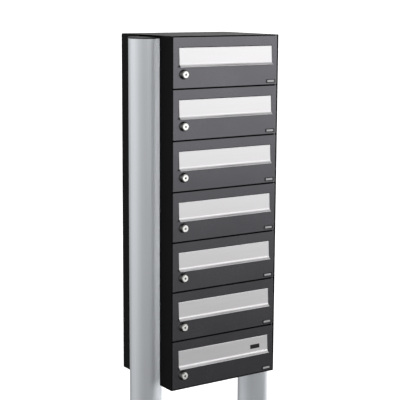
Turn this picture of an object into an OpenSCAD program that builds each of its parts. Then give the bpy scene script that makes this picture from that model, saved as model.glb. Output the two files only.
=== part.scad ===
// Column of letter boxes: one folded sheet steel cabinet with a door, a letter flap and a cam
// lock for each box, carried between two round posts that stand on base plates.
// Millimetres, +Z up, doors facing -Y. The origin is on the ground under the middle of the unit.
// Modules draw with Y = 0 on the doors' front face; in_place() then moves them to the origin.

/* [Column] */
// Number of boxes, one above the other
box_count = 7; // [2:1:7]
// Height from one box line to the next
box_pitch = 152; // [140:1:220]
// Outer width of the cabinet
cabinet_w = 385; // [320:1:480]
// Depth of the cabinet behind the doors' front face
cabinet_d = 290; // [240:1:420]
// Height of the cabinet's underside above the ground
cabinet_lift = 600; // [200:10:1200]
// Height of the roof and of the floor beyond the first and the last box line
end_margin = 1.3; // [1.3:0.1:6]

/* [Sheet metal] */
// Thickness of the cabinet's sheet
sheet_t = 1.2; // [1:0.1:2]
// Depth of the hemmed front edges
hem_d = 12; // [8:1:20]
// Width of the inward flange at the sides' rear edges
rear_flange = 15; // [12:1:25]
// Depth of the turned-down lip on a shelf's front edge
shelf_lip = 8; // [5:1:14]
// Height of the fixing flanges on the roof and the floor
tab_h = 12; // [8:1:20]
// Gap that lets a piece slide into its place
fit_gap = 0.1; // [0.1:0.05:0.5]
// Gap between the shelves and the rails
shelf_gap = 1; // [0.5:0.1:3]
// Radius of the rivets in the rear flanges
rivet_r = 2.4; // [1.5:0.1:3]
// Height between one rear rivet and the next
rivet_pitch = 170; // [120:10:200]
// Least distance from the roof or the floor to a rivet
rivet_end = 30; // [20:5:60]

/* [Doors] */
// Thickness of the doors' sheet
door_t = 1.2; // [0.8:0.1:1.6]
// Gap between one door and the next
door_gap = 5; // [4.6:0.2:8]
// Gap between a door and the cabinet's hemmed edge
door_side_gap = 1.5; // [1.2:0.1:3]
// Depth of a door's folded flanges
door_flange = 12; // [9:0.5:13]
// Outer radius of the bends at a door's sides
door_bend = 2; // [1.8:0.1:3]
// Gap between a door's flanges and the rails behind them
door_stop_gap = 1.5; // [1:0.1:3]

/* [Door hinge] */
// Distance of the hinge axis from the door's edge and from its face
hinge_inset = 3.5; // [3.2:0.1:5]
// Radius of a hinge pin
pin_r = 1.5; // [1:0.1:1.6]
// Gap between a pin or rod and the hole that turns on it
pin_gap = 0.05; // [0.02:0.01:0.1]
// How far a hinge pin stands past its box line
pin_reach = 8.5; // [6:0.5:14]
// Thickness of the hinge ears between the doors
ear_t = 2; // [1:0.1:2.4]
// How far the hinge ears stay behind the doors' face
ear_inset = 0.5; // [0.2:0.1:1]
// Width and depth of the rails behind the doors' side edges
rail_w = 15; // [12:1:22]

/* [Letter slot] */
// Width of door that is left beside the slot
slot_side = 20; // [14:0.5:40]
// Distance from the box line above to the slot's top edge
slot_drop = 30.5; // [12:0.5:50]
// Height of the slot
slot_h = 49; // [36:1:52]
// Depth of the flanges around the slot
slot_flange = 11; // [8:0.5:14]

/* [Flap] */
// Thickness of the flap's sheet
flap_t = 1.2; // [0.8:0.1:1.6]
// Gap at each end of the flap
flap_end_gap = 1.5; // [0.5:0.1:3]
// Gap above the flap's rolled edge
flap_top_gap = 1; // [0.5:0.1:2]
// Gap between the closed flap and the slot's lower edge
flap_rest_gap = 0.3; // [0.2:0.1:1]
// Outer radius of the rolled edge around the rod
roll_r = 2.5; // [2.3:0.1:3.2]
// Radius of the flap's rod
rod_r = 1.5; // [1:0.1:1.6]
// Distance from the door's face to the rod
rod_y = 3; // [2.8:0.1:4]
// Inner radius of the bend above the lip
lip_bend = 8; // [4:0.5:12]
// Angle that the lip turns outwards
lip_angle = 50; // [20:5:70]
// Length of the lip below its bend
lip_len = 5.5; // [3:0.5:10]
// Radius of the bead along the lip's edge
lip_bead = 1; // [0.8:0.1:1.4]

/* [Lock] */
// Distance from the door's left edge to the lock
lock_side = 37.3; // [30:0.1:44]
// Height of the lock above the box line
lock_up = 42.3; // [40:0.1:55]
// How far the lock stands out of the door
lock_reach = 12; // [12:0.5:16]
// Radius of the ring around the lock
rosette_r = 14.5; // [13:0.1:18]
// How far the ring stands out of the door
rosette_reach = 7.5; // [5:0.5:9]
// Radius of the lock's front face
lock_face_r = 10.3; // [9.5:0.1:11]
// Radius of the lock's barrel
barrel_r = 9; // [8.5:0.1:9.4]
// Radius of the plug that the key turns
plug_r = 6; // [5:0.1:7]
// Radius of the plug's head
plug_head_r = 7.5; // [7.1:0.1:8.4]
// Thickness of the plug's head
plug_head_t = 2; // [1:0.5:3]
// Width of the nut behind the door, across its flats
nut_flats = 24; // [22:1:27]
// Thickness of the nut
nut_t = 4; // [3:0.5:6]
// Width and height of the key's slot
key_slot = [2, 6]; // [1:0.5:8]
// Depth of the key's slot
key_slot_depth = 12; // [6:1:16]
// Length of the cam from the lock's axis
cam_len = 31; // [28:0.5:34]
// Width of the cam
cam_w = 14; // [12:0.5:16]
// Thickness of the cam
cam_t = 2; // [1.5:0.1:3]
// Gap between the cam and the rail it locks behind
cam_gap = 1; // [0.5:0.1:2]
// Gap between the barrel's end and the cam
barrel_gap = 0.4; // [0.2:0.1:0.8]
// Chamfer around the lock's front face
lock_chamfer = 0.8; // [0.4:0.1:1.2]
// Solid length of the plug between the key's slot and the cam's screw
plug_web = 2; // [1:0.5:4]
// Radius of the cam's screw
screw_r = 2.5; // [2:0.1:2.5]
// Radius and thickness of the screw's head
screw_head = [5, 2.4]; // [2:0.1:6]
// Side of the plug's square end
drive_w = 8; // [6:0.5:8]

/* [Number plate] */
// Width, height and thickness of the plate on the lowest flap
plate_size = [35, 13, 0.6]; // [0.4:0.1:60]
// Distance from the middle of the flap to the middle of the plate
plate_x = 118; // [0:1:140]
// Distance from the flap's rod down to the middle of the plate
plate_drop = 28; // [12:1:34]

/* [Posts] */
// Radius of a post
post_r = 50; // [30:1:52]
// Wall of a post
post_wall = 3; // [2:0.5:5]
// Distance from the doors' face back to the posts' centres
post_y = 127.5; // [110:0.5:150]
// How far a post is let into the cabinet's side
post_recess = 36.5; // [15:0.5:38]
// Free width in front of and behind a post in its channel
post_side_gap = 10; // [5:1:15]
// Distance from the roof down to the top of a post
post_top_drop = 10; // [8:0.5:30]
// Height of the rim of a post's cap
cap_rim = 4; // [2:0.5:4]
// Overhang of the cap's rim
cap_overhang = 1; // [0.5:0.1:1.5]
// Depth of the cap's plug in the post
cap_plug = 14; // [8:1:30]
// Width and height of a saddle
saddle_size = [60, 60]; // [40:1:80]
// Thickness of a saddle where the post is nearest
saddle_t = 1.5; // [1.5:0.5:6]
// Depth of a saddle at its edges
saddle_d = 14; // [10:0.5:20]
// Radius of the saddle bolts
bolt_r = 4; // [3:0.5:5]
// Clearance around the saddle bolts
bolt_gap = 0.4; // [0.2:0.1:0.8]
// Radius and thickness of a saddle bolt's head
bolt_head = [7, 4]; // [3:0.5:9]
// Length of a threaded insert in a post
insert_len = 14; // [10:1:20]
// How far an insert's outer end lies below the round of the post
insert_sink = 0.5; // [0.5:0.1:1.5]
// How far a saddle bolt's tip stays back from its insert's inner end
bolt_back = 2; // [1:0.5:4]
// Wall of a threaded insert
insert_wall = 1.5; // [1:0.5:2.5]

/* [Base plates] */
// Side of a base plate
base_w = 200; // [150:5:260]
// Thickness of a base plate
base_t = 10; // [6:1:20]
// Radius of a base plate's corners
base_corner = 14; // [5:1:30]
// Distance between neighbouring anchor holes
anchor_pitch = 150; // [120:5:220]
// Radius of an anchor hole
anchor_r = 7; // [5:0.5:10]
// Leg of the weld around a post's foot
weld = 6; // [3:1:10]

/* [Hidden] */
$fn = 64;
CUT = 1;                                        // how far a cutter runs past a face
STEEL = [0.16, 0.16, 0.17];
DOOR_GREY = [0.27, 0.27, 0.29];
STAINLESS = [0.80, 0.80, 0.82];
ALUMINIUM = [0.72, 0.73, 0.75];
ZINC = [0.62, 0.63, 0.64];
BLACK = [0.07, 0.07, 0.08];

face_y = -(cabinet_d - lock_reach) / 2;         // the doors' face, measured from the origin
first_line = cabinet_lift + end_margin;
last_line = first_line + box_count * box_pitch;
bottom_z = cabinet_lift;
top_z = last_line + end_margin;
hem_t = 2 * sheet_t;
half_w = cabinet_w / 2;
hem_x = half_w - hem_t;                         // inner side of the hemmed front edges
wall_x = half_w - sheet_t;                      // inner side of the cabinet's side walls
door_half = hem_x - door_side_gap;
door_h = box_pitch - door_gap;
rail_y = door_flange + door_stop_gap;           // front of the rails and of the shelves
rail_x = wall_x - rail_w;
back_y = cabinet_d - 2 * sheet_t;               // front of the back panel

hinge_x = door_half - hinge_inset;
slot_half = door_half - slot_side;
rod_drop = slot_drop + flap_top_gap + roll_r;   // from the box line above down to the rod
flap_half = slot_half - flap_end_gap;
flap_fall = slot_drop + slot_h - rod_drop;      // from the rod down to the slot's lower edge
flap_lean = asin((rod_y - roll_r + flap_t + flap_rest_gap) / flap_fall);

lock_x = lock_side - door_half;
cam_y = rail_y + sheet_t + cam_gap;
barrel_end = cam_y - barrel_gap;

post_x = half_w + post_r - post_recess;
recess_d = post_recess + saddle_t;
recess_half = post_r + post_side_gap;
recess_x = half_w - recess_d;                   // outer side of a channel's floor
inner_x = recess_x - sheet_t;                   // inner side of a channel's floor
post_top = top_z - post_top_drop;
insert_r = bolt_r + insert_wall;
insert_x = post_x - post_r + insert_sink;

// Box 1 is at the top; its box line is the one under it.
function box_line(box) = first_line + (box_count - box) * box_pitch;
function rod_z(box) = box_line(box) + box_pitch - rod_drop;
function lock_z(box) = box_line(box) + lock_up;
boxes = [1:box_count];
saddle_levels = [for (box = [1:2:box_count]) box_line(box) + box_pitch / 2];

function numbered(name) = [for (box = boxes) str(name, "_", box)];

// ---- Placing --------------------------------------------------------------------------

module in_place() translate([0, face_y, 0]) children();

// Draws the children on the right-hand side and again, mirrored, on the left.
module both_sides() {
  children();
  mirror([1, 0, 0]) children();
}

// Turns a shape that stands along +Z so that it points along +Y, into the cabinet.
module inwards() rotate([-90, 0, 0]) children();

// Extrudes an outline drawn in (Y, Z) along X, centred on X = 0.
module along_x(length) {
  translate([-length / 2, 0, 0]) rotate([90, 0, 90]) linear_extrude(length) children();
}

module upright(low, high) translate([0, 0, low]) linear_extrude(high - low) children();

module block(low, high) translate(low) cube(high - low);

// ---- Cabinet --------------------------------------------------------------------------

// Plan of the right-hand side: hemmed front edge, channel for the post, rear flange.
module side_plan() {
  front = post_y - recess_half;
  back = post_y + recess_half;
  translate([hem_x, 0]) square([hem_t, hem_d]);
  translate([wall_x, 0]) square([sheet_t, front]);
  translate([inner_x, front - sheet_t]) square([half_w - inner_x, sheet_t]);
  translate([inner_x, front - sheet_t]) square([sheet_t, 2 * (recess_half + sheet_t)]);
  translate([inner_x, back]) square([half_w - inner_x, sheet_t]);
  translate([wall_x, back]) square([sheet_t, cabinet_d - back]);
  translate([half_w - rear_flange, cabinet_d - sheet_t]) square([rear_flange, sheet_t]);
}

module side_panel() {
  difference() {
    upright(bottom_z + sheet_t, top_z - sheet_t) side_plan();
    for (z = saddle_levels)
      translate([inner_x - CUT, post_y, z]) rotate([0, 90, 0])
        cylinder(h = sheet_t + 2 * CUT, r = bolt_r + bolt_gap);
    rivet_holes();
  }
}

module left_side() color(STEEL) in_place() mirror([1, 0, 0]) side_panel();

module right_side() color(STEEL) in_place() side_panel();

rivet_count = floor((top_z - bottom_z - 2 * rivet_end) / rivet_pitch) + 1;
rivet_start = (bottom_z + top_z - (rivet_count - 1) * rivet_pitch) / 2;
rivet_x = half_w - rear_flange / 2;

module each_rivet() {
  for (step = [0:rivet_count - 1])
    translate([rivet_x, 0, rivet_start + step * rivet_pitch]) children();
}

module rivet_holes() {
  each_rivet() translate([0, back_y - CUT, 0]) inwards()
    cylinder(h = 2 * sheet_t + 2 * CUT, r = rivet_r);
}

module panel_rivets() color(ZINC) in_place() both_sides() each_rivet() {
  translate([0, back_y, 0]) inwards() cylinder(h = 2 * sheet_t, r = rivet_r);
  translate([0, back_y - 1, 0]) inwards() cylinder(h = 1, r = 2 * rivet_r);
}

module back_panel() color(STEEL) in_place() difference() {
  block(
    [-(wall_x - fit_gap), back_y, bottom_z + sheet_t],
    [wall_x - fit_gap, back_y + sheet_t, top_z - sheet_t]
  );
  both_sides() rivet_holes();
}

// Outline of the inside of the cabinet, seen from above and clear of the posts' channels.
module inside_plan(front) {
  side = wall_x - fit_gap;
  channel = recess_half + sheet_t + fit_gap;
  difference() {
    translate([-side, front]) square([2 * side, back_y - fit_gap - front]);
    both_sides() translate([inner_x - fit_gap, post_y - channel])
      square([side, 2 * channel]);
  }
}

// A roof as seen from above its own outer face: sheet, hem, fixing flanges and two pin holes.
module end_panel() difference() {
  union() {
    block([-half_w, 0, -sheet_t], [half_w, cabinet_d, 0]);
    block([-(hem_x - fit_gap), 0, -hem_t], [hem_x - fit_gap, hem_d, -sheet_t]);
    translate([0, 0, -sheet_t - tab_h]) linear_extrude(tab_h) end_flanges();
  }
  translate([hinge_x, hinge_inset, -hem_t - CUT])
    cylinder(h = hem_t + 2 * CUT, r = pin_r);
}

// Plan of the roof's flanges: two along each side, clear of rail and channel, one at the back.
module end_flanges() {
  front = rail_y + rail_w + 2 * sheet_t;
  channel_front = post_y - recess_half - 2 * sheet_t;
  channel_back = post_y + recess_half + 2 * sheet_t;
  back = back_y - 2 * sheet_t;
  both_sides() {
    translate([wall_x - sheet_t, front]) square([sheet_t, channel_front - front]);
    translate([wall_x - sheet_t, channel_back]) square([sheet_t, back - channel_back]);
  }
  translate([-rail_x, back_y - sheet_t]) square([2 * rail_x, sheet_t]);
}

module roof() color(STEEL) in_place() translate([0, 0, top_z]) end_panel();

// The floor is notched at both channels, where the posts pass down through it.
module floor_pan() color(STEEL) in_place() translate([0, 0, bottom_z]) difference() {
  mirror([0, 0, 1]) end_panel();
  both_sides() block(
    [recess_x, post_y - recess_half, -CUT],
    [half_w + CUT, post_y + recess_half, sheet_t + CUT]
  );
}

module shelf() {
  front_part = rail_x - shelf_gap;
  difference() {
    translate([0, 0, -sheet_t / 2]) linear_extrude(sheet_t) inside_plan(rail_y);
    both_sides() block(
      [front_part, rail_y - CUT, -sheet_t],
      [half_w, rail_y + rail_w + 2 * sheet_t, sheet_t]
    );
  }
  block(
    [-front_part, rail_y, -shelf_lip],
    [front_part, rail_y + sheet_t, sheet_t / 2]
  );
}

module shelves() color(STEEL) in_place()
  for (box = [1:box_count - 1]) translate([0, 0, box_line(box)]) shelf();

// ---- Rails and hinge pins -------------------------------------------------------------

// Plan of the rail behind a door's side edge: a strip behind the door and a strip along the
// wall, which are spot-welded at the corner.
module rail_plan() {
  translate([rail_x, rail_y]) square([rail_w - sheet_t - fit_gap, sheet_t]);
  translate([wall_x - sheet_t, rail_y]) square([sheet_t, rail_w]);
}

module rail() upright(bottom_z + sheet_t + fit_gap, top_z - sheet_t - fit_gap) rail_plan();

module strike_rail() color(STEEL) in_place() mirror([1, 0, 0]) rail();

// An ear reaches forward between two doors and holds the hinge pin that both turn on.
module hinge_ear() {
  ear_half = hinge_inset - ear_inset;
  difference() {
    union() {
      cylinder(h = ear_t, r = ear_half, center = true);
      block(
        [-ear_half, 0, -ear_t / 2],
        [ear_half, rail_y + sheet_t / 2 - hinge_inset, ear_t / 2]
      );
    }
    cylinder(h = ear_t + 2 * CUT, r = pin_r, center = true);
  }
}

module hinge_rail() color(STEEL) in_place() {
  rail();
  for (box = [1:box_count - 1])
    translate([hinge_x, hinge_inset, box_line(box)]) hinge_ear();
}

module hinge_pin(low, high) translate([hinge_x, hinge_inset, low])
  cylinder(h = high - low, r = pin_r);

module hinge_pins() color(STAINLESS) in_place() {
  for (box = [1:box_count - 1])
    hinge_pin(box_line(box) - pin_reach, box_line(box) + pin_reach);
  hinge_pin(bottom_z, first_line + pin_reach);
  hinge_pin(last_line - pin_reach, top_z);
}

// ---- Doors ----------------------------------------------------------------------------

// Plan of a door, inset by its sheet for the room inside it, with the bends at its sides rounded.
module door_plan(inset, back) {
  half = door_half - inset;
  bend = door_bend - inset;
  translate([-half + bend, inset]) square([2 * (half - bend), back - inset]);
  translate([-half, door_bend]) square([2 * half, back - door_bend]);
  for (side = [-1, 1]) translate([side * (half - bend), door_bend]) circle(bend);
}

// Frame folded inwards around the slot; its ends carry the flap's rod.
module slot_frame() difference() {
  block(
    [-slot_half - door_t, 0, -door_t],
    [slot_half + door_t, slot_flange, slot_h + door_t]
  );
  block([-slot_half, -CUT, 0], [slot_half, slot_flange + CUT, slot_h]);
}

module door(box) {
  slot_low = door_h + door_gap / 2 - slot_drop - slot_h;
  color(DOOR_GREY) in_place() translate([0, 0, box_line(box) + door_gap / 2]) difference() {
    union() {
      difference() {
        linear_extrude(door_h) door_plan(0, door_flange);
        translate([0, 0, door_t]) linear_extrude(door_h - 2 * door_t)
          door_plan(door_t, door_flange + CUT);
      }
      translate([0, 0, slot_low]) slot_frame();
    }
    block(
      [-slot_half, -CUT, slot_low],
      [slot_half, slot_flange + CUT, slot_low + slot_h]
    );
    translate([0, rod_y, rod_z(box) - box_line(box) - door_gap / 2])
      rotate([0, 90, 0]) cylinder(h = 2 * (slot_half + door_t + CUT), r = rod_r, center = true);
    translate([lock_x, -CUT, lock_up - door_gap / 2]) inwards()
      cylinder(h = door_t + 2 * CUT, r = barrel_r + fit_gap);
    translate([hinge_x, hinge_inset, -CUT])
      cylinder(h = door_h + 2 * CUT, r = pin_r + pin_gap);
  }
}

// ---- Flaps ----------------------------------------------------------------------------

module flap_rod(box) color(STAINLESS) in_place() translate([0, rod_y, rod_z(box)])
  rotate([0, 90, 0]) cylinder(h = 2 * (slot_half + door_t), r = rod_r, center = true);

// Ring sector from lip_angle below the horizontal up to it, opening to the right.
module bend_section() intersection() {
  difference() {
    circle(lip_bend + flap_t);
    circle(lip_bend);
  }
  far = 2 * (lip_bend + flap_t);
  polygon([
    [0, 0], [far, 0], [far, -far * tan(lip_angle / 2)],
    [far * cos(lip_angle), -far * sin(lip_angle)],
  ]);
}

// Section of an upright flap around its rod: rolled edge, plate, outward bend, lip and bead.
module flap_section() {
  plate_len = flap_fall - 1;
  join = fit_gap / 2;                           // the lip starts a little inside the bend
  circle(roll_r);
  translate([-roll_r + join, -plate_len]) square([flap_t, plate_len]);
  translate([-roll_r + join - lip_bend, -plate_len]) {
    bend_section();
    rotate(-lip_angle) {
      translate([lip_bend + join, -lip_len]) square([flap_t - 2 * join, lip_len + 4 * join]);
      translate([lip_bend + flap_t / 2, -lip_len]) circle(lip_bead);
    }
  }
}

// Turns about the rod, so that the plate leans outwards down to its lip.
module leaning(box) translate([0, rod_y, rod_z(box)]) rotate([-flap_lean, 0, 0]) children();

module flap(box) color(STAINLESS) in_place() leaning(box)
  along_x(2 * flap_half) difference() {
    flap_section();
    circle(rod_r + pin_gap);
  }

// Blank plate lying on the front of the lowest flap.
module number_plate() color(BLACK) in_place() leaning(box_count)
  translate([plate_x - plate_size[0] / 2, -roll_r - plate_size[2], -plate_drop - plate_size[1] / 2])
    cube([plate_size[0], plate_size[2], plate_size[1]]);

// ---- Locks ----------------------------------------------------------------------------

module at_lock(box) in_place() translate([lock_x, 0, lock_z(box)]) inwards() children();

// Half section of the stepped ring between the door and the lock's face.
module rosette() {
  step = rosette_reach / 5;
  rotate_extrude() polygon([
    [barrel_r + fit_gap, 0], [rosette_r, 0], [rosette_r, -step],
    [rosette_r - 1, -2 * step], [rosette_r - 1, -3 * step],
    [rosette_r - 2, -4 * step], [rosette_r - 3, -rosette_reach + fit_gap],
    [barrel_r + fit_gap, -rosette_reach + fit_gap],
  ]);
}

module lock_barrel() {
  head = plug_head_t + pin_gap;
  rotate_extrude() polygon([
    [plug_r + pin_gap, -lock_reach + head], [plug_head_r + pin_gap, -lock_reach + head],
    [plug_head_r + pin_gap, -lock_reach], [lock_face_r - lock_chamfer, -lock_reach],
    [lock_face_r, -lock_reach + lock_chamfer], [lock_face_r, -rosette_reach],
    [barrel_r, -rosette_reach], [barrel_r, barrel_end], [plug_r + pin_gap, barrel_end],
  ]);
}

module lock_nut() translate([0, 0, door_t + fit_gap]) difference() {
  cylinder(h = nut_t, d = nut_flats / cos(30), $fn = 6);
  translate([0, 0, -CUT]) cylinder(h = nut_t + 2 * CUT, r = barrel_r + fit_gap);
}

module lock_body(box) color(ZINC) at_lock(box) {
  rosette();
  lock_barrel();
  lock_nut();
}

module square_end(width, low, high) translate([-width / 2, -width / 2, low])
  cube([width, width, high - low]);

module lock_plug(box) color(ZINC) at_lock(box) difference() {
  union() {
    translate([0, 0, -lock_reach]) cylinder(h = plug_head_t, r = plug_head_r);
    translate([0, 0, -lock_reach + plug_head_t])
      cylinder(h = cam_y + lock_reach - plug_head_t, r = plug_r);
    square_end(drive_w, cam_y, cam_y + cam_t);
  }
  translate([-key_slot[0] / 2, -key_slot[1] / 2, -lock_reach - CUT])
    cube([key_slot[0], key_slot[1], key_slot_depth + CUT]);
  translate([0, 0, key_slot_depth - lock_reach + plug_web])
    cylinder(h = cabinet_d, r = screw_r);
}

// The cam hangs down while it is unlocked and turns towards the strike rail.
module lock_cam(box) color(ZINC) at_lock(box) {
  difference() {
    translate([0, 0, cam_y]) linear_extrude(cam_t) {
      circle(cam_w * 0.6);
      translate([-cam_w / 2, 0]) square([cam_w, cam_len - cam_w / 2]);
      translate([0, cam_len - cam_w / 2]) circle(cam_w / 2);
    }
    square_end(drive_w + 2 * fit_gap, cam_y - CUT, cam_y + cam_t + CUT);
  }
  translate([0, 0, cam_y + cam_t + fit_gap]) cylinder(h = screw_head[1], r = screw_head[0]);
  translate([0, 0, cam_y - cam_t]) cylinder(h = 2 * cam_t + 2 * fit_gap, r = screw_r - fit_gap);
}

// ---- Posts ----------------------------------------------------------------------------

module post() difference() {
  translate([post_x, post_y, base_t]) difference() {
    cylinder(h = post_top - base_t, r = post_r);
    translate([0, 0, -CUT]) cylinder(h = post_top, r = post_r - post_wall);
  }
  for (z = saddle_levels)
    translate([post_x - post_r - CUT, post_y, z]) rotate([0, 90, 0])
      cylinder(h = post_r / 2, r = insert_r);
}

module left_post() color(ALUMINIUM) in_place() mirror([1, 0, 0]) post();

module right_post() color(ALUMINIUM) in_place() post();

module post_caps() color(BLACK) in_place() both_sides() translate([post_x, post_y, post_top]) {
  cylinder(h = cap_rim, r = post_r + cap_overhang);
  translate([0, 0, -cap_plug]) cylinder(h = cap_plug, r = post_r - post_wall - fit_gap);
}

module base_outline() {
  flat = base_w - 2 * base_corner;
  square([base_w, flat], center = true);
  square([flat, base_w], center = true);
  for (x = [-1, 1], y = [-1, 1]) translate([x, y] * flat / 2) circle(base_corner);
}

module base_plate() difference() {
  union() {
    linear_extrude(base_t) base_outline();
    translate([0, 0, base_t]) rotate_extrude()
      polygon([[post_r, 0], [post_r + weld, 0], [post_r, weld]]);
  }
  for (x = [-1, 1], y = [-1, 1]) translate([x * anchor_pitch / 2, y * anchor_pitch / 2, -CUT])
    cylinder(h = base_t + 2 * CUT, r = anchor_r);
}

module base_plates() color(STEEL) in_place() both_sides()
  translate([post_x, post_y, 0]) base_plate();

// A saddle fills the space between a channel's floor and the round of the post.
module saddle() difference() {
  block(
    [recess_x, post_y - saddle_size[0] / 2, -saddle_size[1] / 2],
    [recess_x + saddle_d, post_y + saddle_size[0] / 2, saddle_size[1] / 2]
  );
  translate([post_x, post_y, 0]) cylinder(h = saddle_size[1] + CUT, r = post_r, center = true);
  translate([recess_x - CUT, post_y, 0]) rotate([0, 90, 0])
    cylinder(h = saddle_d + 2 * CUT, r = bolt_r + bolt_gap);
}

module post_saddles() color(BLACK) in_place() both_sides()
  for (z = saddle_levels) translate([0, 0, z]) saddle();

module saddle_bolts() color(ZINC) in_place() both_sides()
  for (z = saddle_levels) translate([inner_x, post_y, z]) rotate([0, 90, 0]) {
    cylinder(h = insert_x - inner_x + insert_len - bolt_back, r = bolt_r - fit_gap);
    translate([0, 0, -bolt_head[1]]) cylinder(h = bolt_head[1], r = bolt_head[0]);
  }

module post_inserts() color(ZINC) in_place() both_sides()
  for (z = saddle_levels) translate([insert_x, post_y, z]) rotate([0, 90, 0]) difference() {
    cylinder(h = insert_len, r = insert_r);
    translate([0, 0, -CUT]) cylinder(h = insert_len + 2 * CUT, r = bolt_r);
  }

// ---- What is drawn --------------------------------------------------------------------

left_side();
right_side();
back_panel();
roof();
floor_pan();
shelves();
strike_rail();
hinge_rail();
hinge_pins();
panel_rivets();
left_post();
right_post();
post_caps();
base_plates();
post_saddles();
saddle_bolts();
post_inserts();
number_plate();
for (box = boxes) {
  door(box);
  flap_rod(box);
  lock_body(box);
  flap(box);
  lock_plug(box);
  lock_cam(box);
}
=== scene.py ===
# %% [markdown]
# # A column of letter boxes between two round posts
# The real unit is one folded sheet steel cabinet, powder coated nearly black. It holds
# seven boxes, and each box has a hinged door, a brushed steel letter flap and a cam lock.
# The measured model comes ready made: every sheet, rod, lock and post is in its place, in
# metres. This script keeps those shapes, gives each of them its finish, and adds the
# small trim that is fitted last. Modelling everything again would only risk the fits.

# %% Load the measured model
import math

import bmesh
import bpy
from mathutils import Matrix, Vector


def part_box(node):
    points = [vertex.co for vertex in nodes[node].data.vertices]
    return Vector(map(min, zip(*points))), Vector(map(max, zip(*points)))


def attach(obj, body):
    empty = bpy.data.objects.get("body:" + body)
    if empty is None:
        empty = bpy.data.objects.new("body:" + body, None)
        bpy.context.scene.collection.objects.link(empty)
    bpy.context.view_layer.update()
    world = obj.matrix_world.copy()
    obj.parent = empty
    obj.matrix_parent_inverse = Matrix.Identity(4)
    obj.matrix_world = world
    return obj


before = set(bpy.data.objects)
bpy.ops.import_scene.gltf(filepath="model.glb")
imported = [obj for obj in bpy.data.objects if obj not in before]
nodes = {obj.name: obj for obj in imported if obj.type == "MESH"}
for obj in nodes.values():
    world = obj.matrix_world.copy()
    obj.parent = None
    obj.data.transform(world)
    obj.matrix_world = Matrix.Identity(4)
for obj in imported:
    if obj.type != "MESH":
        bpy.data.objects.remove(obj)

scene = bpy.context.scene
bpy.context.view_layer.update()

# %% [markdown]
# ## Millimetres
# Sheet metal is drawn in millimetres, while Blender works in metres. The scene's units
# could be changed, but then lights and lenses no longer mean what they say. One constant
# is simpler: it turns millimetres into metres wherever a size is written.

# %% Millimetres and the boxes' own places
MM = 0.001
box_count = sum(name.startswith("door_") for name in nodes)
boxes = range(1, box_count + 1)


def middle(node):
    """The centre of a measured piece."""
    low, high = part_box(node)
    return (low + high) / 2


door_pitch = (middle("door_1") - middle("door_2")).z
print(box_count, "boxes, one every", round(door_pitch / MM, 1), "mm")

# %% [markdown]
# ## Writing shader maths as Python
# A finish is a small formula: streaks times a strength, plus a base roughness. Wiring
# that by hand takes a dozen nodes that nobody can read afterwards. So one small class
# wraps a node's output and lets Python's own operators add the Math nodes. Every other
# kind of node comes from its one method, node().

# %% A shader socket that behaves like a number
class Signal:
    """One output of a shader node, which can stand in a Python expression."""

    def __init__(self, tree, output=None):
        self.tree = tree
        self.output = output

    def node(self, kind, settings=None, sockets=None, out=0):
        """Adds any node: its settings first, then its sockets' values or links."""
        made = self.tree.nodes.new("ShaderNode" + kind)
        for name, value in (settings or {}).items():
            setattr(made, name, value)
        for name, value in (sockets or {}).items():
            if isinstance(value, Signal):
                self.tree.links.new(value.output, made.inputs[name])
            else:
                made.inputs[name].default_value = value
        return Signal(self.tree, made.outputs[out])

    def math(self, operation, first, second=0.0):
        """Adds a Math node."""
        return self.node("Math", {"operation": operation}, {0: first, 1: second})

    def __add__(self, other):
        return self.math("ADD", self, other)

    def __radd__(self, other):
        return self.math("ADD", other, self)

    def __sub__(self, other):
        return self.math("SUBTRACT", self, other)

    def __rsub__(self, other):
        return self.math("SUBTRACT", other, self)

    def __mul__(self, other):
        return self.math("MULTIPLY", self, other)

    def __rmul__(self, other):
        return self.math("MULTIPLY", other, self)


print("shader expressions are ready")

# %% [markdown]
# ## Camera
# The unit is seen from a little left of the doors, from just above the roof's height. A
# long lens some three and a half metres away keeps the posts almost parallel. A camera
# could be aimed at a target, but a target can't hold a trace of roll. So the angles are
# set one by one, as on a tripod: turn, tilt, roll.

# %% Camera on its tripod
CAMERA_PLACE = Vector((-2.036, -3.052, 1.788))
CAMERA_TURN, CAMERA_TILT, CAMERA_ROLL = 33.71, 9.86, 0.307
SENSOR_WIDTH, FOCAL_LENGTH = 36.0, 106.9
FARTHEST_SIGHT = 2000.0
camera_data = bpy.data.cameras.new("camera")
camera_data.sensor_width = SENSOR_WIDTH
camera_data.lens = FOCAL_LENGTH
camera_data.clip_end = FARTHEST_SIGHT
camera = bpy.data.objects.new("camera", camera_data)
scene.collection.objects.link(camera)
scene.camera = camera
turn = Matrix.Rotation(math.radians(-CAMERA_TURN), 4, "Z")
tilt = Matrix.Rotation(math.radians(90.0 - CAMERA_TILT), 4, "X")
roll = Matrix.Rotation(math.radians(CAMERA_ROLL), 4, "Z")
camera.matrix_world = Matrix.Translation(CAMERA_PLACE) @ turn @ tilt @ roll
print("camera", round((CAMERA_PLACE - middle("door_4")).length, 2), "m from the middle door")

# %% [markdown]
# ## Studio
# Dark paint shows little of its own colour: it shows what it reflects. So the room
# matters more than the lamps. Real walls could be built as planes, but each would need
# its own light. Here the world itself plays the room. It is plain white where the camera
# sees it, and elsewhere it is a ring of soft bright walls. The ones on the right fade out
# towards the floor, so that the doors grow darker from the top box to the bottom one. One
# weak soft box in front adds a little light that has a clear direction.

# %% A world that looks white to the camera
world = bpy.data.worlds.new("studio")
world.use_nodes = True
scene.world = world
scene.view_settings.view_transform = "Standard"
room_tree = world.node_tree
room = Signal(room_tree)
outlook = room.node("TexCoord", out="Generated")
seen = room.node("LightPath", out="Is Camera Ray")
backdrop = room_tree.nodes["Background"]
backdrop.inputs["Color"].default_value = (1.0, 1.0, 1.0, 1.0)
print("world", world.name, "uses the view transform", scene.view_settings.view_transform)


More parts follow.
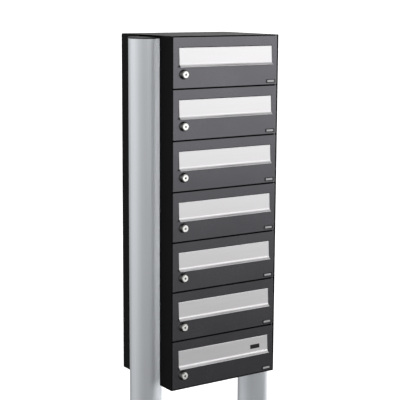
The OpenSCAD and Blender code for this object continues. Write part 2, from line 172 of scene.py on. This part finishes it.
# %% Soft walls
def soft_wall(bearing, elevation, sharpness):
    """Light from one side of the room; a bearing of 0 is in front of the doors, 90 right."""
    turned, raised = math.radians(bearing), math.radians(elevation)
    flat = math.cos(raised)
    aim = (math.sin(turned) * flat, -math.cos(turned) * flat, math.sin(raised))
    product = {"operation": "DOT_PRODUCT"}
    facing = room.node("VectorMath", product, {0: outlook, 1: aim}, out="Value")
    return room.math("POWER", room.math("MAXIMUM", facing, 0.0), sharpness)


def above_floor(low, high):
    """Fades a wall out where it comes down to the dark floor."""
    height = room.node("SeparateXYZ", None, {0: outlook}, out="Z")
    span = {"Value": height, "From Min": low, "From Max": high}
    return room.node("MapRange", {"interpolation_type": "SMOOTHSTEP"}, span)


print("walls are placed by bearing and elevation")

# %% The walls that the unit reflects
left_walls = (
    0.50 * soft_wall(-160.0, 10.0, 5.0)
    + 0.80 * soft_wall(-125.0, 10.0, 5.0)
    + 0.65 * soft_wall(-90.0, 10.0, 5.0)
    + 0.40 * soft_wall(-55.0, 10.0, 5.0)
    + 0.55 * soft_wall(-15.0, 10.0, 5.0)
)
right_walls = (
    1.15 * soft_wall(30.0, 12.0, 6.0)
    + 0.25 * soft_wall(60.0, 12.0, 6.0)
    + 1.60 * soft_wall(85.0, 12.0, 6.0)
)
back_wall = 2.45 * soft_wall(115.0, 10.0, 5.0)
walls = left_walls + right_walls * above_floor(-0.45, 0.05) + back_wall
brightness = walls * (1.0 - seen) + seen
room_tree.links.new(brightness.output, backdrop.inputs["Strength"])
print("the room takes", len(room_tree.nodes), "nodes")


# %% Soft boxes
def soft_box(name, place, aim, size, power):
    """A rectangular studio light that points at a place on the unit."""
    light = bpy.data.lights.new(name, "AREA")
    light.shape = "RECTANGLE"
    light.size, light.size_y = size
    light.energy = power
    lamp = bpy.data.objects.new(name, light)
    scene.collection.objects.link(lamp)
    lamp.location = place
    lamp.rotation_euler = (Vector(aim) - Vector(place)).to_track_quat("-Z", "Y").to_euler()
    lamp.visible_camera = False
    return lamp


front = soft_box("front", (1.5, -2.4, 1.5), (0.0, -0.14, 1.4), (1.6, 1.4), 2.4)
print("soft box:", front.name)

# %% [markdown]
# ## Floor
# The posts stand on a plain pale floor that runs out of sight. It is lit from within, as a
# light table is, so that it stays one even white and no shadow falls on it. The unit
# doesn't see it: real sweeps are pulled back until they no longer shine into dark paint.
# A curved sweep would need a bend that hides its end. A plane this large needs none.

# %% Floor
FLOOR_SIDE = 1200.0
PAPER_WHITE = (0.90, 0.90, 0.90, 1.0)
PAPER_GLOW = 0.80
floor_mesh = bpy.data.meshes.new("floor")
floor_shape = bmesh.new()
bmesh.ops.create_grid(floor_shape, x_segments=2, y_segments=2, size=FLOOR_SIDE / 2)
floor_shape.to_mesh(floor_mesh)
floor_shape.free()
floor = bpy.data.objects.new("floor", floor_mesh)
scene.collection.objects.link(floor)
floor.visible_glossy = False
floor.visible_diffuse = False
floor_paper = bpy.data.materials.new("floor_paper")
floor_paper.use_nodes = True
paper = floor_paper.node_tree.nodes["Principled BSDF"]
paper.inputs["Base Color"].default_value = PAPER_WHITE
paper.inputs["Roughness"].default_value = 0.9
paper.inputs["Specular IOR Level"].default_value = 0.0
paper.inputs["Emission Color"].default_value = (1.0, 1.0, 1.0, 1.0)
paper.inputs["Emission Strength"].default_value = PAPER_GLOW
floor_paper.cycles.emission_sampling = "NONE"
floor_mesh.materials.append(floor_paper)
print("floor", FLOOR_SIDE, "m square")

# %% [markdown]
# ## Starting a finish
# Every finish begins in the same way: one Principled shader whose constant numbers are
# set once, and the piece's own coordinates, in metres. Unwrapping sixty pieces would give
# each its own scale. Textures that start from the piece's coordinates keep their true
# scale on every piece and travel with it when it moves.

# %% The start of a finish
class Finish:
    """A material under construction."""

    def __init__(self, name, **constants):
        self.material = bpy.data.materials.new(name)
        self.material.use_nodes = True
        self.tree = self.material.node_tree
        self.shader = self.tree.nodes["Principled BSDF"]
        self.place = Signal(self.tree).node("TexCoord", out="Object")
        for socket, value in constants.items():
            self.shader.inputs[socket.replace("_", " ")].default_value = value

    def feed(self, socket, signal):
        """Lets a signal drive one of the shader's sockets."""
        self.tree.links.new(signal.output, self.shader.inputs[socket])

    def coordinate(self, letter):
        """The piece's X, Y or Z, in metres."""
        return self.place.node("SeparateXYZ", None, {0: self.place}, out=letter)

    def stretched(self, x, y, z):
        """The piece's coordinates, scaled differently along each axis."""
        scaled = {0: self.place, 1: (x, y, z)}
        return self.place.node("VectorMath", {"operation": "MULTIPLY"}, scaled)

    def noise(self, vector, scale, detail):
        """A soft random pattern between 0 and 1."""
        sockets = {"Vector": vector, "Scale": scale, "Detail": detail}
        return self.place.node("TexNoise", None, sockets)

    def ramp(self, value, start, end):
        """Goes from 0 to 1 while the value goes from start to end, which may be lower."""
        span = {"Value": value, "From Min": start, "From Max": end}
        return self.place.node("MapRange", {"clamp": True}, span)

    def blend(self, mask, first, second):
        """A colour that goes from the first to the second as the mask rises."""
        sockets = {0: mask, 6: (*first, 1.0), 7: (*second, 1.0)}
        return self.place.node("Mix", {"data_type": "RGBA"}, sockets, out=2)

    def bump(self, height, distance, strength):
        """Turns a height between 0 and 1 into a surface as deep as the distance."""
        sockets = {"Height": height, "Distance": distance, "Strength": strength}
        self.feed("Normal", self.place.node("Bump", None, sockets, out="Normal"))


def shade(colour, factor):
    """The same colour, lighter or darker."""
    return tuple(channel * factor for channel in colour)


print("finishes start from a Principled shader")

# %% [markdown]
# ## Powder coat
# The cabinet, the doors and the base plates are powder coated. Powder melts into a tough
# skin with a fine orange peel, about a millimetre from crest to crest. A smooth black
# would look like plastic, and real bumps would need millions of faces. So a small noise
# lifts the shading by a few hundredths of a millimetre and changes the roughness with it,
# and a slow second noise lets the colour drift, as it does where the coat is thicker.

# %% Powder coat
PEEL_DEPTH = 0.05 * MM


def powder_coat(name, colour, roughness, ior, metallic=0.0):
    coat = Finish(name, IOR=ior, Metallic=metallic)
    peel = coat.noise(coat.place, 850.0, 3.0)
    drift = coat.noise(coat.place, 7.0, 3.0)
    speck = coat.noise(coat.place, 2600.0, 1.0)
    mottle = drift * 0.7 + speck * 0.3
    coat.feed("Base Color", coat.blend(mottle, shade(colour, 0.82), shade(colour, 1.18)))
    coat.feed("Roughness", roughness - 0.08 + peel * 0.10 + drift * 0.06)
    coat.bump(peel + speck * 0.25, PEEL_DEPTH, 0.6)
    return coat.material


cabinet_paint = powder_coat("cabinet_paint", (0.005, 0.005, 0.0055), roughness=0.45, ior=1.11)
base_paint = powder_coat("base_paint", (0.060, 0.060, 0.062), roughness=0.55, ior=1.45)
door_paint = powder_coat(
    "door_paint", (0.140, 0.137, 0.149), roughness=0.26, ior=1.40, metallic=0.90
)
print("powder coats:", cabinet_paint.name, door_paint.name, base_paint.name)

# %% [markdown]
# ## Brushed steel
# The flaps are ground with a belt that runs along their length. The belt leaves fine
# scratches with a few longer, softer bands between them. Scratches could be cut one by
# one, but they are thinner than a hair. Noise that is stretched along X gives both, and a
# constant anisotropy spreads each highlight across the grain.

# %% Brushed steel
SCRATCH_DEPTH = 0.012 * MM


def brushed_steel(name, colour, roughness):
    steel = Finish(name, Metallic=1.0, Anisotropic=0.5)
    scratches = steel.noise(steel.stretched(14.0, 1500.0, 1500.0), 1.0, 2.0)
    bands = steel.noise(steel.stretched(1.5, 90.0, 90.0), 1.0, 2.0)
    grain = scratches * 0.6 + bands * 0.4
    steel.feed("Base Color", steel.blend(grain, shade(colour, 0.90), shade(colour, 1.06)))
    steel.feed("Roughness", roughness - 0.07 + grain * 0.14)
    steel.bump(scratches, SCRATCH_DEPTH, 0.5)
    return steel.material


flap_steel = brushed_steel("flap_steel", (0.84, 0.83, 0.84), roughness=0.46)
rod_steel = brushed_steel("rod_steel", (0.62, 0.62, 0.63), roughness=0.32)
print("brushed steels:", flap_steel.name, rod_steel.name)

# %% [markdown]
# ## Anodised aluminium
# The posts are drawn tubes. Drawing leaves faint lines from top to bottom, and anodising
# turns them satin. A plain grey metal would lack both. The lines are noise squeezed
# around the post and stretched along Z. Low down, rain splashes dull the tube a little,
# so the roughness rises near the ground.

# %% Anodised aluminium
SPLASH_FULL, SPLASH_END = 0.10, 0.45
DRAWN_LINE_DEPTH = 0.015 * MM


def anodised(name, colour, roughness):
    tube = Finish(name, Metallic=0.9)
    lines = tube.noise(tube.stretched(420.0, 420.0, 2.0), 1.0, 3.0)
    cloud = tube.noise(tube.place, 5.0, 3.0)
    height = tube.coordinate("Z") + cloud * 0.25
    splash = 1.0 - tube.ramp(height, SPLASH_FULL, SPLASH_END)
    tone = lines * 0.5 + cloud * 0.3 + splash * 0.2
    tube.feed("Base Color", tube.blend(tone, shade(colour, 1.05), shade(colour, 0.86)))
    tube.feed("Roughness", roughness - 0.05 + lines * 0.08 + splash * 0.10)
    tube.bump(lines, DRAWN_LINE_DEPTH, 0.5)
    return tube.material


post_metal = anodised("post_metal", (0.80, 0.83, 0.86), roughness=0.45)
print("anodised tube:", post_metal.name)

# %% [markdown]
# ## Turned nickel
# A lock's face is turned, so its marks are circles around the lock's own axis. A bright
# ring lies between a dark disc round the keyhole, which is painted shade for the depth of
# the hole, and the dark stepped ring outside.
# Seven materials could each know one lock's place. One finish is enough: the height is
# folded by the pitch of the boxes, which brings each lock's axis to zero. The distance
# from that axis then draws the rings.

# %% How far a point is from the axis of its lock
def distance_from_lock(finish):
    axis = middle("lock_plug_1")
    across = finish.coordinate("X") - axis.x
    above_lowest = (box_count + 0.5) * door_pitch
    height = finish.coordinate("Z") - axis.z + above_lowest
    up = finish.place.math("FLOORED_MODULO", height, door_pitch) - 0.5 * door_pitch
    return finish.place.math("SQRT", across * across + up * up)


print("lock 1 turns about x", round(middle("lock_plug_1").x / MM, 1), "mm")

# %% Turned nickel
TURNING_PITCH = 0.5 * MM
TURNING_DEPTH = 0.006 * MM
FACE_RADIUS = 10.4 * MM
KEYHOLE_SHADE_RADIUS = 3.4 * MM
SOFT_RIM = 0.3 * MM


def turned_nickel(name, bright, dark, roughness):
    nickel = Finish(name, Metallic=1.0)
    reach = distance_from_lock(nickel)
    rings = nickel.place.math("SINE", reach * (2.0 * math.pi / TURNING_PITCH)) * 0.5 + 0.5
    smear = nickel.noise(nickel.place, 220.0, 3.0)
    outside = nickel.ramp(reach, FACE_RADIUS, FACE_RADIUS + SOFT_RIM)
    # The dark disc round the keyhole is painted shade: it stands in for the shade down in the
    # hole.
    keyhole_shade = nickel.ramp(reach, KEYHOLE_SHADE_RADIUS, KEYHOLE_SHADE_RADIUS - SOFT_RIM)
    tone = (outside + keyhole_shade) * 0.92 + smear * 0.08
    nickel.feed("Base Color", nickel.blend(tone, bright, dark))
    nickel.feed("Roughness", roughness + rings * 0.05 + smear * 0.08)
    nickel.bump(rings, TURNING_DEPTH, 0.5)
    return nickel.material


lock_nickel = turned_nickel("lock_nickel", (0.90, 0.90, 0.87), (0.10, 0.10, 0.10), 0.26)
print("turned finish:", lock_nickel.name)

# %% [markdown]
# ## Zinc plate
# Cams, rivets, bolts and threaded inserts are plated for rust, not for looks. The plate
# is bluish, uneven and slightly yellow where it was passivated. One flat grey would turn
# them into castings, so two noises mix the tints.

# %% Zinc plate
GRIT_DEPTH = 0.02 * MM


def zinc_plate(name, blue, yellow, roughness):
    plate = Finish(name, Metallic=1.0)
    patches = plate.noise(plate.place, 90.0, 4.0)
    grit = plate.noise(plate.place, 1400.0, 2.0)
    plate.feed("Base Color", plate.blend(patches, blue, yellow))
    plate.feed("Roughness", roughness + patches * 0.12 + grit * 0.05)
    plate.bump(grit, GRIT_DEPTH, 0.4)
    return plate.material


zinc = zinc_plate("zinc", (0.50, 0.53, 0.58), (0.68, 0.66, 0.58), roughness=0.34)
print("plated:", zinc.name)

# %% [markdown]
# ## Pale foil
# The blank strip on a badge is a satin foil. White paint would look too bright and too
# flat beside steel. Fine grit breaks the foil's shine, and a slow noise leaves it a
# little uneven, as a glued strip is.

# %% Pale foil
FOIL_DEPTH = 0.01 * MM


def satin_foil(name, colour):
    satin = Finish(name, Metallic=0.3)
    grit = satin.noise(satin.place, 1800.0, 2.0)
    waves = satin.noise(satin.place, 130.0, 2.0)
    satin.feed("Base Color", satin.blend(waves, shade(colour, 0.85), shade(colour, 1.05)))
    satin.feed("Roughness", 0.40 + grit * 0.15)
    satin.bump(grit, FOIL_DEPTH, 0.5)
    return satin.material


foil = satin_foil("foil", (0.62, 0.62, 0.63))
print("foil:", foil.name)

# %% [markdown]
# ## Moulded black plastic
# Caps, saddles and badge plates come out of a spark-eroded mould, which leaves a fine
# leathery grain. Noise would give it no cells. A Voronoi pattern has them, and each cell
# is one rounded bump.

# %% Moulded black plastic
GRAIN_DEPTH = 0.04 * MM


def moulded_plastic(name, colour, roughness, cell):
    plastic = Finish(name, Specular_IOR_Level=0.4)
    pattern = {"Vector": plastic.place, "Scale": 1.0 / cell}
    cells = plastic.place.node("TexVoronoi", None, pattern)
    haze = plastic.noise(plastic.place, 40.0, 3.0)
    plastic.feed("Base Color", plastic.blend(haze, shade(colour, 0.8), shade(colour, 1.3)))
    plastic.feed("Roughness", roughness + haze * 0.08)
    plastic.bump(cells, GRAIN_DEPTH, 0.5)
    return plastic.material


black_plastic = moulded_plastic("black_plastic", (0.018, 0.018, 0.019), 0.50, 0.7 * MM)
badge_black = moulded_plastic("badge_black", (0.006, 0.006, 0.007), 0.42, 0.4 * MM)
print("plastics:", black_plastic.name, badge_black.name)

# %% [markdown]
# ## Giving each measured piece its finish
# On the real unit each kind of piece leaves one workshop with one finish. Sixty lines
# could name every piece. The names already say what the pieces are, so the finish is
# looked up by the start of the name. A piece that no line matches stops the script.

# %% The finish of each kind of piece
FINISHES = {
    "left_side": cabinet_paint,
    "right_side": cabinet_paint,
    "back_panel": cabinet_paint,
    "roof": cabinet_paint,
    "floor_pan": cabinet_paint,
    "shelves": cabinet_paint,
    "strike_rail": cabinet_paint,
    "hinge_rail": cabinet_paint,
    "hinge_pins": rod_steel,
    "panel_rivets": zinc,
    "left_post": post_metal,
    "right_post": post_metal,
    "post_caps": black_plastic,
    "base_plates": base_paint,
    "post_saddles": black_plastic,
    "saddle_bolts": zinc,
    "post_inserts": zinc,
    "number_plate": badge_black,
    "door_": door_paint,
    "flap_rod_": rod_steel,
    "lock_body_": lock_nickel,
    "flap_": flap_steel,
    "lock_plug_": lock_nickel,
    "lock_cam_": zinc,
}
print(len(FINISHES), "kinds of piece")


# %% Dress the measured pieces
def finish_for(name):
    """The finish whose key the name starts with, the longest key first."""
    keys = [key for key in FINISHES if name.startswith(key)]
    return FINISHES[max(keys, key=len)]


for name, piece in nodes.items():
    piece.data.materials.clear()
    piece.data.materials.append(finish_for(name))
print(len(nodes), "measured pieces dressed")

# %% [markdown]
# ## Lights for single pieces
# The left post stands in a black channel, so its inner edge would mirror nothing but black
# paint, and the lower locks face the darkest part of the room. Brighter walls would help
# them and spoil the paint. In a real studio such a piece gets its own light, and flags
# shield the rest from it. Light linking does the same: each of these soft boxes shines on
# the named pieces only, and only they can shade it. Rays that leave a shiny piece by
# chance would still end in the channel, so these lights are sampled directly, without
# mixing in those rays.

# %% Lights for the left post and the locks
def shine_only_on(lamp, names):
    """Keeps a light for the pieces whose names are given."""
    group = bpy.data.collections.new(lamp.name + "_pieces")
    for name in names:
        group.objects.link(nodes[name])
    lamp.light_linking.receiver_collection = group
    lamp.light_linking.blocker_collection = group
    lamp.data.cycles.use_multiple_importance_sampling = False
    print(lamp.name, "shines on", len(names), "pieces")


edge_light = soft_box("edge_light", (1.26, -0.90, 1.1), (-0.2, 0.0, 1.1), (2.0, 2.4), 10.5)
shine_only_on(edge_light, ["left_post"])
lock_names = [f"{kind}_{box}" for box in boxes for kind in ("lock_body", "lock_plug")]
lock_light = soft_box("lock_light", (1.0, -1.9, 0.6), (-0.15, -0.15, 1.0), (1.0, 1.6), 2.6)
shine_only_on(lock_light, lock_names)

# %% [markdown]
# ## Crisp edges
# A folded or sawn edge is never perfectly sharp: it catches a thin line of light. The
# doors and the posts' caps get a small bevel for it. Beveling the meshes themselves would
# change what was measured. The modifier doesn't, and it works only on the edges that turn
# by more than its angle, so the flat faces and the round bends stay as they are.

# %% Bevels on doors and caps
SHARP_TURN = math.radians(50.0)
DOOR_EDGE = 0.5 * MM
CAP_EDGE = 1.2 * MM


def soften_edges(piece, width):
    bevel = piece.modifiers.new("soft_edges", "BEVEL")
    bevel.width = width
    bevel.segments = 2
    bevel.limit_method = "ANGLE"
    bevel.angle_limit = SHARP_TURN


for box in boxes:
    soften_edges(nodes[f"door_{box}"], DOOR_EDGE)
soften_edges(nodes["post_caps"], CAP_EDGE)
print("soft edges on", box_count, "doors and the caps")

# %% [markdown]
# ## Badges
# Each door carries a small dark badge near its lower right corner, with a pale strip for
# a name. Both are blank here. A scaled cube would have sharp corners. A badge is cut from
# sheet, so it starts as a flat outline with round corners, gets its thickness by
# extrusion, and a fine bevel rounds its rim.

# %% A plate with round corners
CORNER_STEPS = 8
RIM_SHARE = 0.15
QUARTERS = ((1, 1, 0.0), (-1, 1, 90.0), (-1, -1, 180.0), (1, -1, 270.0))


def plate_outline(width, height, corner):
    """Points around a rectangle with round corners, in the X Z plane."""
    for side_x, side_z, start in QUARTERS:
        for step in range(CORNER_STEPS + 1):
            angle = math.radians(start + 90.0 * step / CORNER_STEPS)
            x = side_x * (width / 2 - corner) + corner * math.cos(angle)
            z = side_z * (height / 2 - corner) + corner * math.sin(angle)
            yield Vector((x, 0.0, z))


def rounded_plate(name, centre, size, corner, finish):
    """A plate that faces -Y; its size is width, thickness and height."""
    width, thickness, height = size
    shape = bmesh.new()
    points = plate_outline(width, height, corner)
    face = shape.faces.new([shape.verts.new(centre + point) for point in points])
    grown = bmesh.ops.extrude_face_region(shape, geom=[face])["geom"]
    front_points = [item for item in grown if isinstance(item, bmesh.types.BMVert)]
    bmesh.ops.translate(shape, verts=front_points, vec=(0.0, -thickness, 0.0))
    bmesh.ops.recalc_face_normals(shape, faces=shape.faces)
    mesh = bpy.data.meshes.new(name)
    shape.to_mesh(mesh)
    shape.free()
    plate = bpy.data.objects.new(name, mesh)
    scene.collection.objects.link(plate)
    mesh.materials.append(finish)
    soften_edges(plate, RIM_SHARE * thickness)
    return plate


print("plates have", len(QUARTERS) * (CORNER_STEPS + 1), "points around")

# %% Badges on the doors
BADGE_SIZE = (34.0 * MM, 0.8 * MM, 11.0 * MM)
BADGE_CORNER = 2.0 * MM
STRIP_SIZE = (25.0 * MM, 0.15 * MM, 6.0 * MM)
STRIP_CORNER = 0.6 * MM
BADGE_INSET = Vector((-24.0 * MM, 0.0, 10.0 * MM))
for box in boxes:
    low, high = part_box(f"door_{box}")
    spot = Vector((high.x, low.y, low.z)) + BADGE_INSET
    badge = rounded_plate(f"badge_{box}", spot, BADGE_SIZE, BADGE_CORNER, badge_black)
    badge_face = spot - Vector((0.0, BADGE_SIZE[1], 0.0))
    strip = rounded_plate(f"badge_strip_{box}", badge_face, STRIP_SIZE, STRIP_CORNER, foil)
    for piece, slot in ((badge, "black_plastic"), (strip, "stainless")):
        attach(piece, f"door_{box}")
print(box_count, "badges, each with a blank strip")
